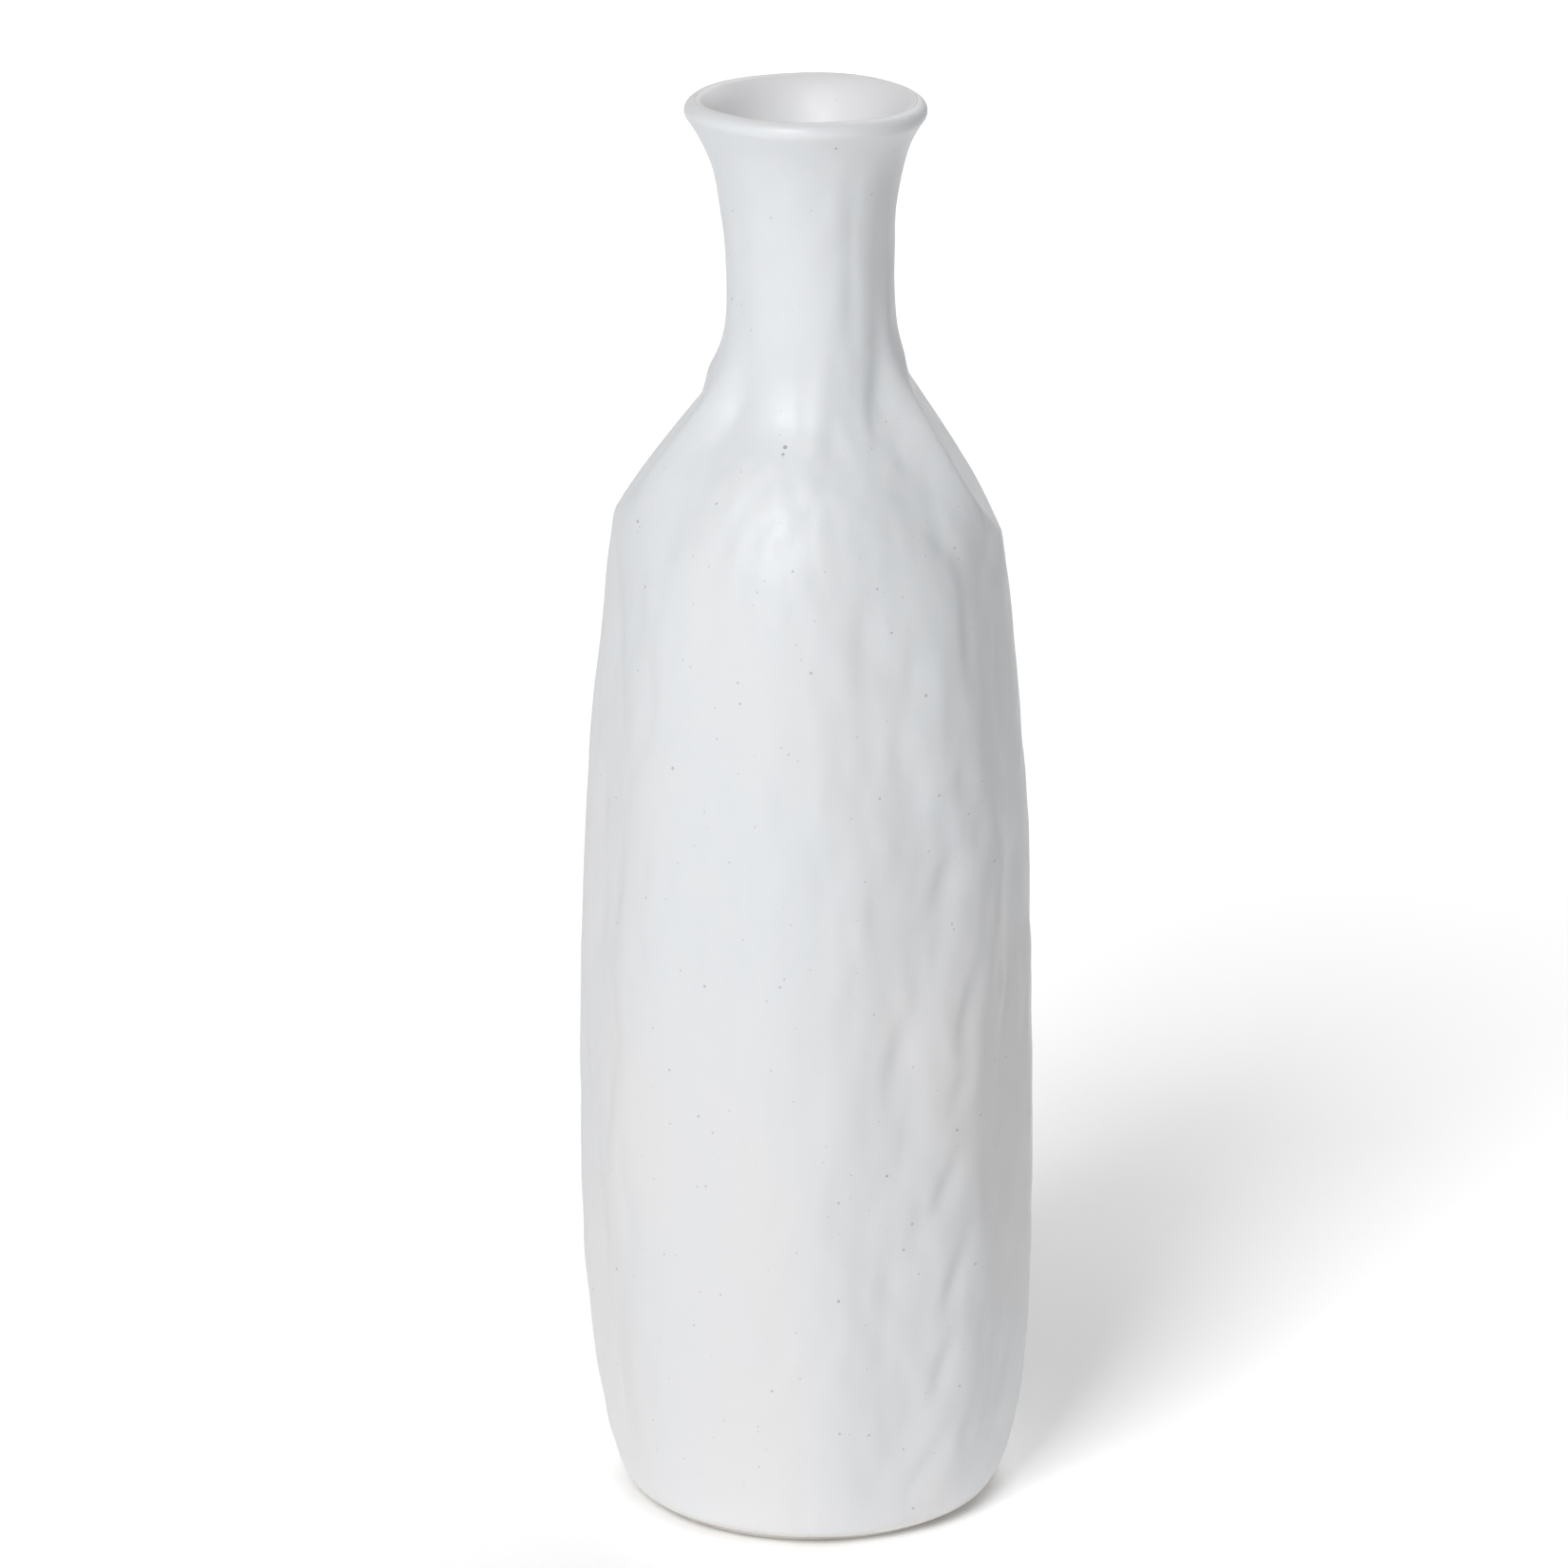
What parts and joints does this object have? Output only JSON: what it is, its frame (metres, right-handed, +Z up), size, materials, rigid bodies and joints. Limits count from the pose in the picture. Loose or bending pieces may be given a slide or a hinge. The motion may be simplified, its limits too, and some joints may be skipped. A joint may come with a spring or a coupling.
{
  "type": "ceramic bud vase",
  "caption": "Tall bottle-shaped stoneware bud vase with softly faceted sides, sloping shoulders, a slim neck and a flared, rolled lip.",
  "frame": {"origin": "centre of the resting foot, on the surface that the vase stands on", "axes": "+Z up along the axis of the vessel, front towards -Y, with a shoulder facet on +X and on -X"},
  "size_m": [0.0782, 0.0782, 0.2468],
  "materials": {
    "stoneware": "bare fired clay, matt and slightly gritty",
    "outer_glaze": "satin white glaze with sparse iron specks",
    "liner_glaze": "satin white glaze"
  },
  "bodies": {
    "root": {"stoneware_body": "stoneware", "outer_glaze": "outer_glaze", "liner_glaze": "liner_glaze"}
  },
  "joints": []
}
